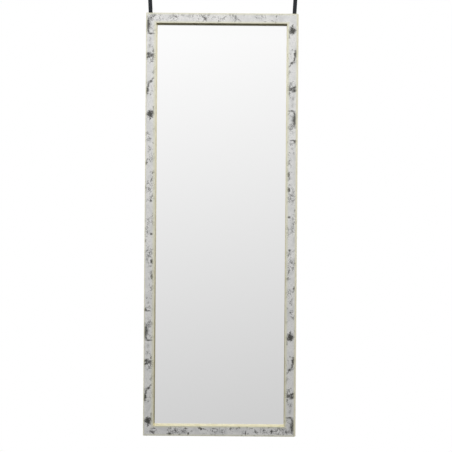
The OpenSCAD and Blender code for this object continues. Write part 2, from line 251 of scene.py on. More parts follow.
# %% Ink of the top and the bottom rail
top_lane = [
    (20, 35, 13, 4, 0, 0.42), (66, 35, 7, 4, 20, 0.42), (74, 39, 11, 3.5, 45, 0.42),
    (74, 48, 10, 3, -15, 0.34), (90, 35, 16, 7, 10, 0.32), (104, 37, 12, 8, 0, 0.26),
    (138, 37, 14, 4, 48, 0.55), (145, 43, 10, 8, 30, 0.66), (140, 49, 9, 4, 110, 0.45),
    (148, 49, 7, 3, 70, 0.4), (153, 35, 8, 4, -30, 0.42), (213, 34, 5, 4, 0, 0.42),
    (220, 39, 14, 6, 80, 0.52), (229, 47, 12, 3, 25, 0.42), (292, 49, 13, 4, 0, 0.28),
    (310, 48, 9, 5, 0, 0.36), (321, 37, 8, 4, 110, 0.62)]
bottom_lane = [
    (14, 68, 15, 4, 145, 0.6), (56, 65.5, 11, 5, 5, 0.74), (72, 73, 14, 3, 130, 0.5),
    (82, 64, 8, 4, 0, 0.55), (91, 71, 20, 14, 0, 0.3), (103, 66, 9, 5, 70, 0.7),
    (97, 78, 13, 4, 0, 0.45), (112, 72, 9, 5, 30, 0.34), (132, 79, 13, 6, -20, 0.82),
    (143, 77, 13, 3, -10, 0.5), (164, 78, 13, 4, 0, 0.34), (207, 79, 11, 3, 95, 0.5),
    (228, 82, 6, 5, 0, 0.72), (222, 79, 5, 4, 0, 0.5), (244, 67, 15, 3, 90, 0.6),
    (250, 65, 6, 4, 0, 0.38), (258, 80, 9, 3, 0, 0.44), (269, 71, 16, 3, 118, 0.5),
    (304, 83, 13, 3, 0, 0.6), (308, 72, 11, 6, 80, 0.72), (325, 64, 10, 3, 0, 0.42),
    (344, 71, 12, 4, 110, 0.56)]
STRONGER = 0.12
bottom_lane = [(*place, strength + STRONGER) for *place, strength in bottom_lane]
strokes = side_lane + top_lane + bottom_lane
print("the other lanes have", len(top_lane), "and", len(bottom_lane), "strokes")

# %% [markdown]
# Between the strokes run hair veins, which come and go in patches. A vein is the line where a noise
# crosses its middle value. The noise lies on the cylinder itself, so that it has no seam where the print
# starts again.

# %% Hair veins
VEIN_SPACING = 15.0
VEIN_WIDTH = 0.036
PATCH = 30.0


def fine_veins(group, along, across):
    """The ink of the hair veins, and the patches that they lie in."""
    radius = ROLL_REPEAT / (2 * math.pi)
    angle = add(group, "Math", {0: along, 1: 1 / radius}, 0, operation="MULTIPLY")
    turned_x = add(group, "Math", {0: angle}, 0, operation="COSINE")
    turned_y = add(group, "Math", {0: angle}, 0, operation="SINE")
    round_x = add(group, "Math", {0: turned_x, 1: radius}, 0, operation="MULTIPLY")
    round_y = add(group, "Math", {0: turned_y, 1: radius}, 0, operation="MULTIPLY")
    spot = add(group, "CombineXYZ", {0: round_x, 1: round_y, 2: across}, 0)
    wave = add(group, "TexNoise", {"Vector": spot, "Scale": 1 / VEIN_SPACING, "Detail": 7.0,
        "Roughness": 0.68, "Distortion": 1.0}, "Fac")
    ridge = add(group, "Math", {0: wave, 1: 0.5}, 0, operation="SUBTRACT")
    ridge = add(group, "Math", {0: ridge}, 0, operation="ABSOLUTE")
    line = add(group, "MapRange", {0: ridge, 2: VEIN_WIDTH, 3: 1.0, 4: 0.0}, 0, **SMOOTH)
    broad = add(group, "TexNoise", {"Vector": spot, "Scale": 1 / PATCH}, "Fac")
    patch = add(group, "MapRange", {0: broad, 1: 0.46, 2: 0.62}, 0, **SMOOTH)
    strength = add(group, "MapRange", {0: patch, 3: 0.12, 4: 0.66}, 0)
    return add(group, "Math", {0: line, 1: strength}, 0, operation="MULTIPLY"), patch


print("hair veins about", VEIN_SPACING, "mm apart in patches of", PATCH, "mm")

# %% [markdown]
# A stroke is a soft ball that is stretched, turned and moved, and where strokes meet, the strongest is
# kept. Their edges would be too clean, so the place is first pushed about by two noises: one bends the
# whole stroke, the other frays its edge.

# %% Bend the place and draw the strokes
# Size of the lumps and how far they push, in millimetres
BENDS = ((6.0, 7.0), (1.8, 4.5))


def bent_place(group, spot):
    """The place pushed about by noise, in each of the lumps and as far as BENDS says."""
    bent = spot
    for size, reach in BENDS:
        lumps = add(group, "TexNoise", {"Vector": spot, "Scale": 1 / size}, "Color")
        push = add(group, "VectorMath", {0: lumps, 1: (0.5, 0.5, 0.5)}, 0, operation="SUBTRACT")
        push = add(group, "VectorMath", {0: push, "Scale": reach}, 0, operation="SCALE")
        bent = add(group, "VectorMath", {0: bent, 1: push}, 0, operation="ADD")
    return bent


def ink_strokes(group, flat):
    """The strongest stroke at each place."""
    drawn = None
    for along, across, length, width, turn, strength in strokes:
        half = (STROKE_SOFTNESS * length / 2, STROKE_SOFTNESS * width / 2, 1.0)
        local = add(group, "Mapping", {"Vector": flat, "Location": (along, across, 0.0),
            "Rotation": (0.0, 0.0, math.radians(turn)), "Scale": half}, 0, vector_type="TEXTURE")
        soft = add(group, "TexGradient", {"Vector": local}, "Fac", gradient_type="SPHERICAL")
        one = add(group, "Math", {0: soft, 1: strength}, 0, operation="MULTIPLY")
        drawn = one if drawn is None else add(group, "Math", {0: drawn, 1: one}, 0, operation="MAXIMUM")
    return drawn


for size, reach in BENDS:
    print("lumps of", size, "mm push the ink about by up to", reach / 2, "mm")

# %% [markdown]
# The node group puts it all together. It takes a place along and across the roll, wraps it to one turn,
# and gives the ink and the grey of the ground, which is pale clouds of a few centimetres with flecks of a
# few millimetres. Fine specks break the strokes up, as real ink on a rough print does, and strew loose
# dots where the hair veins run.

# %% One turn of the printed roll
SPECK = 2.2
FLECK = 3.4
CLOUD_SIZE = 26.0


def printed_roll():
    """The node group that turns a place on the roll into the amount of ink and of grey cloud there."""
    group = bpy.data.node_groups.new("printed_marble_roll", "ShaderNodeTree")
    for name in ("Along", "Across"):
        group.interface.new_socket(name, in_out="INPUT", socket_type="NodeSocketFloat")
    for name in ("Ink", "Cloud"):
        group.interface.new_socket(name, in_out="OUTPUT", socket_type="NodeSocketFloat")
    place = add(group, "NodeGroupInput").outputs
    turn_end = ROLL_SEAM + ROLL_REPEAT
    wrapped = add(group, "Math", {0: place["Along"], 1: turn_end, 2: ROLL_SEAM}, 0, operation="WRAP")
    spot = add(group, "CombineXYZ", {0: wrapped, 1: place["Across"]}, 0)
    bent = bent_place(group, spot)
    flat = add(group, "VectorMath", {0: bent, 1: (1.0, 1.0, 0.0)}, 0, operation="MULTIPLY")
    veins, patch = fine_veins(group, wrapped, place["Across"])
    drawn = add(group, "Math", {0: ink_strokes(group, flat), 1: veins}, 0, operation="MAXIMUM")
    specks = add(group, "TexNoise", {"Vector": spot, "Scale": 1 / SPECK, "Detail": 4.0,
        "Roughness": 0.7}, "Fac")
    grain = add(group, "MapRange", {0: specks, 1: 0.32, 2: 0.66, 3: 0.3, 4: 1.9}, 0)
    most = add(group, "MapRange", {0: patch, 3: 0.16, 4: 0.42}, 0)
    stray = add(group, "MapRange", {0: specks, 1: 0.5, 2: 0.8, 4: most}, 0, **SMOOTH)
    ragged = add(group, "Math", {0: drawn, 1: grain, 2: stray}, 0, operation="MULTIPLY_ADD")
    ink = add(group, "MapRange", {0: ragged, 1: 0.08, 2: 0.64}, 0, **SMOOTH)
    open_spot = add(group, "CombineXYZ", {0: place["Along"], 1: place["Across"]}, 0)
    billow = add(group, "TexNoise", {"Vector": open_spot, "Scale": 1 / CLOUD_SIZE, "Detail": 4.0,
        "Distortion": 0.8}, "Fac")
    cloud = add(group, "MapRange", {0: billow, 1: 0.42, 2: 0.72}, 0, **SMOOTH)
    mottle = add(group, "TexNoise", {"Vector": open_spot, "Scale": 1 / FLECK, "Detail": 3.0,
        "Roughness": 0.65}, "Fac")
    flecks = add(group, "MapRange", {0: mottle, 1: 0.46, 2: 0.7, 4: 1.3}, 0, **SMOOTH)
    cloud = add(group, "Math", {0: cloud, 1: flecks}, 0, operation="MAXIMUM")
    add(group, "NodeGroupOutput", {"Ink": ink, "Cloud": cloud})
    return group


roll = printed_roll()
print("the printed roll has", len(strokes), "ink strokes in one turn of", ROLL_REPEAT, "mm")

# %% [markdown]
# Each rail's material turns the place on the part into the place on the roll: a direction along the rail,
# a direction across it from the outer edge inwards, and where on the roll the cut starts. The film is
# printed PVC with a satin lacquer, so its gloss is broad and weak. Towards both edges of the film the
# foil below tints it.

# %% Marble film
GROUND, CLOUD, INK, FOIL_TINT = "#dfdedc", "#cbcbca", "#3f3e3b", "#d8d6ba"
FILM_MIDDLE, TINT_START, TINT_FULL = 12.0, 6.0, 11.5
TINT_SHARE = 0.65
LACQUER_GRAIN = 1.2
print("the foil tints the film from", TINT_START, "to", TINT_FULL, "mm off its middle")


def marble_film(name, along, start, across, edge, lane):
    """The marble film of one rail. Along and across are directions, the rest is in millimetres."""
    material, tree = new_material(name)
    spot = millimetres(tree)
    run = add(tree, "VectorMath", {0: spot, 1: along}, "Value", operation="DOT_PRODUCT")
    run = add(tree, "Math", {0: run, 1: start}, 0, operation="SUBTRACT")
    side = add(tree, "VectorMath", {0: spot, 1: across}, "Value", operation="DOT_PRODUCT")
    side = add(tree, "Math", {0: side, 1: edge}, 0, operation="SUBTRACT")
    shifted = add(tree, "Math", {0: side, 1: lane}, 0, operation="ADD")
    printed = add(tree, "Group", node_tree=roll)
    tree.links.new(run, printed.inputs["Along"])
    tree.links.new(shifted, printed.inputs["Across"])
    pale = add(tree, "Mix", {0: printed.outputs["Cloud"], 6: GROUND, 7: CLOUD}, 2, data_type="RGBA")
    inked = add(tree, "Mix", {0: printed.outputs["Ink"], 6: pale, 7: INK}, 2, data_type="RGBA")
    off_middle = add(tree, "Math", {0: side, 1: FILM_MIDDLE}, 0, operation="SUBTRACT")
    off_middle = add(tree, "Math", {0: off_middle}, 0, operation="ABSOLUTE")
    tint = add(tree, "MapRange", {0: off_middle, 1: TINT_START, 2: TINT_FULL, 4: TINT_SHARE}, 0, **SMOOTH)
    colour = add(tree, "Mix", {0: tint, 6: inked, 7: FOIL_TINT}, 2, data_type="RGBA")
    grain = add(tree, "TexNoise", {"Vector": spot, "Scale": 1 / LACQUER_GRAIN, "Detail": 3.0}, "Fac")
    rough = add(tree, "MapRange", {0: grain, **NOISE_RANGE, 3: 0.36, 4: 0.48}, 0)
    relief = add(tree, "Bump", {"Height": grain, "Distance": 0.01 * MM}, "Normal")
    return surface(material, Base_Color=colour, Roughness=rough, IOR=1.46, Normal=relief)


# %% [markdown]
# The blot's height on each side rail, and the place where the top and the bottom rail start, were read
# from the photograph against the rail's outer edge, and so was how far each side rail's film lies off
# its lane. All else follows from the roll.

# %% Wrap the rails in film
LEFT_BLOT, RIGHT_BLOT, TOP_START, BOTTOM_START = -397.0, -189.6, -186.0, -178.0
LEFT_OFF, RIGHT_OFF = 1.5, 1.0
left_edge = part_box("left_marble_film")[0].x / MM
right_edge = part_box("right_marble_film")[1].x / MM
bottom_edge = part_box("bottom_marble_film")[0].z / MM
films = {
    "left_marble_film": ((0, 0, 1), LEFT_BLOT, (1, 0, 0), left_edge - LEFT_OFF, 0.0),
    "right_marble_film": ((0, 0, -1), -RIGHT_BLOT, (-1, 0, 0), -right_edge - RIGHT_OFF, 0.0),
    "top_marble_film": ((1, 0, 0), TOP_START, (0, 0, -1), -film_high.z / MM, TOP_LANE),
    "bottom_marble_film": ((1, 0, 0), BOTTOM_START, (0, 0, 1), bottom_edge, BOTTOM_LANE),
}


def cover(node, material):
    """Gives a CAD part its material."""
    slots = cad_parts[node].data.materials
    slots.clear()
    slots.append(material)


for node, cut in films.items():
    cover(node, marble_film("printed_" + node, *cut))

# %% [markdown]
# ## Foil, glass and board
#
# The moulding is extruded polystyrene, wrapped in champagne coloured hot stamping foil before the marble
# film goes over it. Such foil is a metal coat under tinted lacquer, so it is half metal, half paint to
# the eye: pale, warm and satin, with a slight ripple from the plastic below. It shows on the sloping
# sides and on the inner bevel. The back of the moulding is bare polystyrene, grey and dull.

# %% Champagne foil over polystyrene
# Sizes in millimetres: the foil's ripple, the streaks of the bare plastic, and the waves under both
RIPPLE, STREAK, WAVE = 9.0, 14.0, 5.0


def facing_back(tree, start, full):
    """Goes from 0 to 1 as a surface turns to the door, between two depths of its normal."""
    normal = add(tree, "TexCoord", out="Normal")
    depth = add(tree, "SeparateXYZ", {0: normal}, "Y")
    return add(tree, "MapRange", {0: depth, 1: start, 2: full}, 0, **SMOOTH)


def champagne_foil():
    material, tree = new_material("champagne_foil")
    spot = millimetres(tree)
    back = facing_back(tree, 0.7, 0.9)
    ripple = add(tree, "TexNoise", {"Vector": spot, "Scale": 1 / RIPPLE, "Detail": 3.0}, "Fac")
    tone = add(tree, "MapRange", {0: ripple, **NOISE_RANGE}, 0, **SMOOTH)
    foil = add(tree, "Mix", {0: tone, 6: "#e3dcb6", 7: "#dbd3a9"}, 2, data_type="RGBA")
    streaks = add(tree, "TexNoise", {"Vector": spot, "Scale": 1 / STREAK, "Detail": 5.0}, "Fac")
    bare = add(tree, "Mix", {0: streaks, 6: "#c9c4ba", 7: "#b5afa4"}, 2, data_type="RGBA")
    colour = add(tree, "Mix", {0: back, 6: foil, 7: bare}, 2, data_type="RGBA")
    metal = add(tree, "MapRange", {0: back, 3: 0.55, 4: 0.0}, 0)
    rough = add(tree, "MapRange", {0: tone, 3: 0.34, 4: 0.46}, 0)
    waves = add(tree, "TexNoise", {"Vector": spot, "Scale": 1 / WAVE}, "Fac")
    relief = add(tree, "Bump", {"Height": waves, "Distance": 0.02 * MM}, "Normal")
    return surface(material, Base_Color=colour, Metallic=metal, Roughness=rough, Normal=relief,
        Coat_Weight=0.6, Coat_Roughness=0.2)


foil = champagne_foil()

# %% [markdown]
# The mirror is 3 mm float glass with a silver coat on its back and grey paint over that. Seen from the
# front it is a perfect reflector, a little less than white. Its sawn edges are green and its back is
# grey, but the frame hides both, so one dull grey-green stands for them. Behind it lies a sheet of
# grey-brown packing card, whose fibres lie all ways. The back is closed with hardboard, which is wood
# fibre pressed to a hard brown sheet: it is mottled where the fibres clump, with short dark fibres over
# that.

# %% Silvered glass, card and hardboard
# Sizes in millimetres: the card's fibres, the hardboard's clumps and its loose dark fibres
CARD_FIBRE, CLUMP, DARK_FIBRE = 2.0, 6.0, 1.2


def silvered_glass():
    material, tree = new_material("silvered_glass")
    rest = facing_back(tree, -0.9, -0.5)
    colour = add(tree, "Mix", {0: rest, 6: "#f8f8f8", 7: "#7d8a83"}, 2, data_type="RGBA")
    metal = add(tree, "MapRange", {0: rest, 3: 1.0, 4: 0.0}, 0)
    rough = add(tree, "MapRange", {0: rest, 3: 0.0, 4: 0.5}, 0)
    return surface(material, Base_Color=colour, Metallic=metal, Roughness=rough)


def packing_card():
    material, tree = new_material("packing_card")
    spot = millimetres(tree)
    fibre = add(tree, "TexNoise", {"Vector": spot, "Scale": 1 / CARD_FIBRE, "Detail": 5.0,
        "Distortion": 1.0}, "Fac")
    colour = add(tree, "Mix", {0: fibre, 6: "#9c8a6e", 7: "#b7a486"}, 2, data_type="RGBA")
    relief = add(tree, "Bump", {"Height": fibre, "Distance": 0.05 * MM}, "Normal")
    return surface(material, Base_Color=colour, Roughness=0.9, Normal=relief)


def hardboard():
    material, tree = new_material("hardboard")
    spot = millimetres(tree)
    clump = add(tree, "TexNoise", {"Vector": spot, "Scale": 1 / CLUMP, "Detail": 6.0, "Roughness": 0.7,
        "Distortion": 0.6}, "Fac")
    tone = add(tree, "MapRange", {0: clump, **NOISE_RANGE}, 0, **SMOOTH)
    brown = add(tree, "Mix", {0: tone, 6: "#7d5a3c", 7: "#93704d"}, 2, data_type="RGBA")
    drawn_out = add(tree, "Mapping", {"Vector": spot, "Rotation": (0.0, 0.6, 0.0),
        "Scale": (1.0, 1.0, 0.25)}, 0)
    fibre = add(tree, "TexNoise", {"Vector": drawn_out, "Scale": 1 / DARK_FIBRE, "Detail": 3.0}, "Fac")
    dark = add(tree, "MapRange", {0: fibre, 1: 0.62, 2: 0.74, 4: 0.55}, 0, **SMOOTH)
    colour = add(tree, "Mix", {0: dark, 6: brown, 7: "#4b3221"}, 2, data_type="RGBA")
    rough = add(tree, "MapRange", {0: tone, 3: 0.55, 4: 0.72}, 0)
    relief = add(tree, "Bump", {"Height": fibre, "Distance": 0.08 * MM}, "Normal")
    return surface(material, Base_Color=colour, Roughness=rough, Normal=relief)


glass, card, board = silvered_glass(), packing_card(), hardboard()

# %% [markdown]
# ## Metals
#
# The small pressed parts are zinc plated steel: cool, fairly bright, with the faint patches of a few
# millimetres that the plating bath leaves. The hooks are bent from strip steel and nickel plated after
# brushing, so their gloss is drawn out across the strip. The real brush lines are under 0.1 mm apart;
# here they are 0.7 mm, to show at all.

# %% Plated steel
# Sizes in millimetres: the zinc's patches and its pits, and the distance of the brush lines
ZINC_PATCH, PIT, BRUSH_LINE = 3.5, 0.8, 0.7


def zinc_plated_steel():
    material, tree = new_material("zinc_plated_steel")
    spot = millimetres(tree)
    patch = add(tree, "TexNoise", {"Vector": spot, "Scale": 1 / ZINC_PATCH, "Detail": 3.0}, "Fac")
    colour = add(tree, "Mix", {0: patch, 6: "#b3b8bd", 7: "#cfd0cc"}, 2, data_type="RGBA")
    rough = add(tree, "MapRange", {0: patch, **NOISE_RANGE, 3: 0.25, 4: 0.45}, 0, **SMOOTH)
    pits = add(tree, "TexNoise", {"Vector": spot, "Scale": 1 / PIT}, "Fac")
    relief = add(tree, "Bump", {"Height": pits, "Distance": 0.01 * MM}, "Normal")
    return surface(material, Base_Color=colour, Metallic=1.0, Roughness=rough, Normal=relief)


def brushed_nickel():
    material, tree = new_material("brushed_nickel")
    drawn_out = add(tree, "Mapping", {"Vector": millimetres(tree), "Scale": (0.04, 1.0, 1.0)}, 0)
    brushed = add(tree, "TexNoise", {"Vector": drawn_out, "Scale": 1 / BRUSH_LINE, "Detail": 4.0}, "Fac")
    colour = add(tree, "Mix", {0: brushed, 6: "#b9b4aa", 7: "#d6d1c7"}, 2, data_type="RGBA")
    rough = add(tree, "MapRange", {0: brushed, **NOISE_RANGE, 3: 0.2, 4: 0.4}, 0, **SMOOTH)
    relief = add(tree, "Bump", {"Height": brushed, "Distance": 0.01 * MM}, "Normal")
    return surface(material, Base_Color=colour, Metallic=1.0, Roughness=rough, Normal=relief)


zinc, nickel = zinc_plated_steel(), brushed_nickel()

# %% [markdown]
# ## Edges of the rigid parts
#
# A pressed or moulded part never has a knife edge. The CAD solids keep their sharp corners, so most rigid
# parts get modifiers that leave their own mesh alone: weld the corners that the file splits, dissolve the
# flat facets, round each edge by a fraction of a millimetre, and keep the broad faces flat in the light.
# The rounded edges catch the light as the real ones do.

# %% Finish the carried-over parts
SAME_POINT = 0.001 * MM
FLAT_BELOW = math.radians(0.5)
CORNER_ABOVE = math.radians(28)


def dress(node, material, edge=None):
    """Gives a CAD part its material and, where edge is set, rounds its edges by that many millimetres."""
    cover(node, material)
    if edge:
        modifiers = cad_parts[node].modifiers
        weld = modifiers.new("weld", "WELD")
        weld.merge_threshold = SAME_POINT
        facets = modifiers.new("facets", "DECIMATE")
        facets.decimate_type = "DISSOLVE"
        facets.angle_limit = FLAT_BELOW
        rounding = modifiers.new("rounding", "BEVEL")
        rounding.width = edge * MM
        rounding.segments = 2
        rounding.limit_method = "ANGLE"
        rounding.angle_limit = CORNER_ABOVE
        normals = modifiers.new("normals", "WEIGHTED_NORMAL")
        normals.keep_sharp = False
    print(node, "is", material.name, "with edges of", edge or 0, "mm")


for rail in ("left_rail", "right_rail", "top_rail", "bottom_rail"):
    dress(rail, foil, 0.25)
dress("mirror_glass", glass)
dress("packing_card", card)
dress("backing_board", board, 0.3)
dress("corner_nails", zinc)
dress("retaining_points", zinc, 0.1)
for side in ("left", "right"):
    dress(side + "_ring_plate", zinc, 0.15)
    dress(side + "_ring", zinc)
    dress(side + "_hook", nickel, 0.2)

# %% [markdown]
# ## Helpers for meshes
#
# Some parts are modelled again, finer than the CAD solids. Each of them ends as one object whose faces
# are smooth, with sharp edges kept where the surface really turns. It rides on the body that carries the
# real part, and it stands for the CAD nodes that it hides.

# %% A finished piece
def mesh_data(name, mesh):
    """Closes a mesh that is being built, and gives its data."""
    data = bpy.data.meshes.new(name)
    mesh.to_mesh(data)
    mesh.free()
    return data


def piece(name, mesh, body, nodes, material, smooth_below):
    """A finished piece: it rides on a body, stands for its CAD nodes and takes its finish from a slot."""
    bmesh.ops.recalc_face_normals(mesh, faces=mesh.faces)
    data = mesh_data(name, mesh)
    for polygon in data.polygons:
        polygon.use_smooth = True
    data.set_sharp_from_angle(angle=math.radians(smooth_below))
    made = add_object(name, data)
    data.materials.append(material)
    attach(made, body)
    if nodes:
        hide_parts(*nodes)
    print(name, "has", len(data.polygons), "faces")
    return made


# %% [markdown]
# The shapes themselves are built from a few helpers: a ring of points swept along a path, a profile
# turned about an axis, and a block with rounded edges.

# %% Swept, turned and rounded shapes
def loft(mesh, rings):
    """Joins rings of points that have equal counts, with a cap at each end."""
    made = [[mesh.verts.new(p) for p in ring] for ring in rings]
    count = len(made[0])
    for a, b in zip(made, made[1:]):
        for i in range(count):
            j = (i + 1) % count
            mesh.faces.new((a[i], a[j], b[j], b[i]))
    mesh.faces.new(made[0][::-1])
    mesh.faces.new(made[-1])


# The ring at a profile's end keeps this radius, so that its points stay apart
AXIS_R = 1e-5


def turned(mesh, profile, centre, axis, sides):
    """A profile of (radius, height) turned about an axis; it starts and ends on the axis."""
    along = Vector(axis).normalized()
    first = along.orthogonal().normalized()
    second = along.cross(first)
    rings = []
    for radius, height in profile:
        ring = []
        for k in range(sides):
            angle = 2 * math.pi * k / sides
            out = first * math.cos(angle) + second * math.sin(angle)
            ring.append(Vector(centre) + along * height + out * max(radius, AXIS_R))
        rings.append(ring)
    loft(mesh, rings)


def join(mesh, part):
    """Moves all of part's faces into mesh."""
    carried = mesh_data("carried", part)
    mesh.from_mesh(carried)
    bpy.data.meshes.remove(carried)


def rounded_block(mesh, size, edge, centre, segments=3, profile=0.5):
    """A block of the given size round its centre, with edges rounded by edge."""
    part = bmesh.new()
    bmesh.ops.create_cube(part, size=1.0, matrix=Matrix.Diagonal((*size, 1.0)))
    bmesh.ops.bevel(part, geom=part.edges[:], offset=edge, segments=segments, profile=profile,
        affect="EDGES")
    part.transform(Matrix.Translation(centre))
    join(mesh, part)


sample = bmesh.new()
rounded_block(sample, (1.0, 1.0, 1.0), 0.1, (0, 0, 0))
print("a rounded block has", len(sample.faces), "faces")
sample.free()

# %% [markdown]
# ## The webbing
#
# The straps are 10 mm polypropylene webbing, 1.2 mm thick. Its warp yarns run along the strap and the
# weft crosses them about every 1.6 mm, so the surface is a row of small ribs that swap over from one yarn
# to the next. That is built as geometry: a ribbon follows the strap's route, and its surface rises and
# falls in a checked rhythm. The route is the one that the frame's straps have: from the sewn end, round
# the ring's bar, up the front, over the hook's bar and down the back to the loose end.

# %% The strap's route
STRAP_W = 10 * MM
STRAP_T = 1.2 * MM
LEAN = math.radians(3)
SPLAY = math.tan(LEAN)
MIRRORED = Matrix.Scale(-1, 4, (1, 0, 0))
BAR_R = 1.25 * MM
LOOP_PLAY = 0.35 * MM
LOOP_NECK = 14 * MM
SEWN_END = 24 * MM
LOOSE_END_Z = -132 * MM
# Half the room between the strap's two plies, and how far from their middle each ply lies
HALF_GAP = 0.05 * MM
PLY_Y = STRAP_T / 2 + HALF_GAP
LOOP_R = BAR_R + LOOP_PLAY + STRAP_T / 2

ring_low, ring_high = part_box("left_ring")
ring_bar = Vector(((ring_low.x + ring_high.x) / 2, (ring_low.y + ring_high.y) / 2, ring_high.z - BAR_R))
hook_bar_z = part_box("left_hook")[0].z + BAR_R
reach = hook_bar_z - ring_bar.z


def bow(centre, start, end, steps=14):
    """Points of the loop round a bar, in depth and height."""
    turn = [math.radians(start + (end - start) * k / steps) for k in range(steps + 1)]
    return [Vector((LOOP_R * math.cos(a), centre + LOOP_R * math.sin(a))) for a in turn]


corners = [Vector((PLY_Y, SEWN_END)), Vector((PLY_Y, LOOP_NECK))] + bow(0, 0, -180)
corners += [Vector((-PLY_Y, LOOP_NECK)), Vector((-PLY_Y, reach - LOOP_NECK))] + bow(reach, 180, 0)
corners += [Vector((PLY_Y, reach - LOOP_NECK)), Vector((PLY_Y, LOOSE_END_Z - ring_bar.z))]


def paced(points, step):
    """Points at even steps along a line, with the direction of the line at each."""
    lengths = [(b - a).length for a, b in zip(points, points[1:])]
    total = sum(lengths)
    count = round(total / step)
    made, leg, passed = [], 0, 0.0
    for k in range(count + 1):
        want = total * k / count
        while leg < len(lengths) - 1 and passed + lengths[leg] < want:
            passed += lengths[leg]
            leg += 1
        share = (want - passed) / lengths[leg]
        made.append(points[leg].lerp(points[leg + 1], share))
    ways = [(made[min(k + 1, count)] - made[max(k - 1, 0)]).normalized() for k in range(count + 1)]
    return made, ways, total


PACE = 0.32 * MM
route, ways, strap_length = paced(corners, PACE)
print("each strap is", round(strap_length / MM), "mm of webbing, in", len(route), "steps")

# %% [markdown]
# The ribbon's section has a row of points on its front and on its back, closed by rounded selvedges. Each
# row rises where its warp yarn lies over the weft. A hot knife cuts the webbing and melts the last
# millimetre or two of each end flat, so the ribs fade there.

# %% Weave the straps
RIB_PITCH = 1.6 * MM
RIB_DEPTH = 0.2 * MM
YARNS = 11
MELTED = 1.5 * MM
SELVEDGE = 0.05 * MM
# How deep a groove lies, how high a yarn stands and how far it rises and falls, in depths of a rib
SUNK, CROWN, SWAP = 1.2, 0.7, 0.5
# The share of its thickness that the strap keeps at its edge, and how steeply it thickens from there
THIN, STEEP = 0.45, 6


def strap_ring(spot, way, travelled):
    """The points of one section of the ribbon, in the left strap's own place."""
    normal = Vector((-way.y, way.x))
    melted = min(1.0, (strap_length - travelled) / MELTED, travelled / MELTED)
    ring = []
    for face in (1, -1):
        for k in range(2 * YARNS + 1):
            share = k / (2 * YARNS) if face == 1 else 1 - k / (2 * YARNS)
            yarn = min(int(share * YARNS), YARNS - 1)
            rib = math.cos(2 * math.pi * travelled / RIB_PITCH + math.pi * yarn)
            groove = abs(math.sin(math.pi * share * YARNS))
            edge = min(1.0, STEEP * min(share, 1 - share) + THIN)
            below = SUNK - groove * (CROWN + SWAP * rib * face)
            lift = STRAP_T / 2 * edge - RIB_DEPTH * melted * below
            across = (share - 0.5) * (STRAP_W - 2 * SELVEDGE)
            out = spot + normal * face * lift
            ring.append(Vector((across - SPLAY * out.y, out.x, out.y)))
    return ring


def woven_strap(side):
    mesh = bmesh.new()
    pace = strap_length / (len(route) - 1)
    rings = [strap_ring(spot, way, pace * k) for k, (spot, way) in enumerate(zip(route, ways))]
    loft(mesh, rings)
    mesh.transform(Matrix.Translation(ring_bar))
    if side == "right":
        mesh.transform(MIRRORED)
    return mesh


woven = {side: woven_strap(side) for side in ("left", "right")}
print("each strap is woven from", YARNS, "yarns with a rib every", RIB_PITCH / MM, "mm")

# %% [markdown]
# Spun black polypropylene is a little shiny on top of each rib and dead black between them. The fibres of
# a yarn, about 0.35 mm apart here, break the light up, and give a faint sheen at the edges. They also
# shade one another, so the webbing shines less than a solid of the same plastic.

# %% Black webbing
# Sizes in millimetres: the shades from yarn to yarn, and the fibres
YARN_SHADE, FIBRE = 1.4, 0.35


def black_webbing():
    material, tree = new_material("polypropylene_webbing")
    spot = millimetres(tree)
    yarn = add(tree, "TexNoise", {"Vector": spot, "Scale": 1 / YARN_SHADE}, "Fac")
    colour = add(tree, "Mix", {0: yarn, 6: "#0d1013", 7: "#1b1f25"}, 2, data_type="RGBA")
    fibres = add(tree, "TexNoise", {"Vector": spot, "Scale": 1 / FIBRE, "Detail": 1.0}, "Fac")
    relief = add(tree, "Bump", {"Height": fibres, "Distance": 0.03 * MM}, "Normal")
    return surface(material, Base_Color=colour, Roughness=0.42, IOR=1.49, Normal=relief,
        Specular_IOR_Level=0.3, Sheen_Weight=0.06, Sheen_Roughness=0.4)


webbing = black_webbing()
for side, mesh in woven.items():
    node = side + "_strap"
    piece(side + "_webbing", mesh, "straps", [node], webbing, smooth_below=60)

# %% [markdown]
# A tack closes the sewn end: a box of short stitches through both plies, with a zigzag inside. Each
# stitch is a small thread that dives into the webbing at both ends. They are drawn on both faces of the
# strap.

# %% Boxed tacks
THREAD_R = 0.2 * MM
STITCH = 2.2 * MM
# How deep a thread's ends lie in the webbing, and how far its middle stands up from them
THREAD_SUNK, THREAD_BOW = 0.06 * MM, 0.16 * MM
# The share of its thickness that a thread keeps at its ends
THREAD_END = 0.35
# Steps along a stitch, points round it, and the share of its length that is left free at each end
STITCH_STEPS, STITCH_SIDES, STITCH_GAP = 6, 6, 0.06


def thread(mesh, start, end, lift):
    """One stitch from start to end, bowed outwards by lift."""
    line = end - start
    up = lift.normalized()
    sideways = line.normalized().cross(up)
    rings = []
    angles = [math.radians(360 / STITCH_SIDES * q) for q in range(STITCH_SIDES)]
    for k in range(STITCH_STEPS + 1):
        share = k / STITCH_STEPS
        arch = math.sin(math.pi * share)
        centre = start + line * share + lift * arch
        size = THREAD_R * (THREAD_END + (1 - THREAD_END) * arch)
        rings.append([centre + size * (sideways * math.cos(a) + up * math.sin(a)) for a in angles])
    loft(mesh, rings)


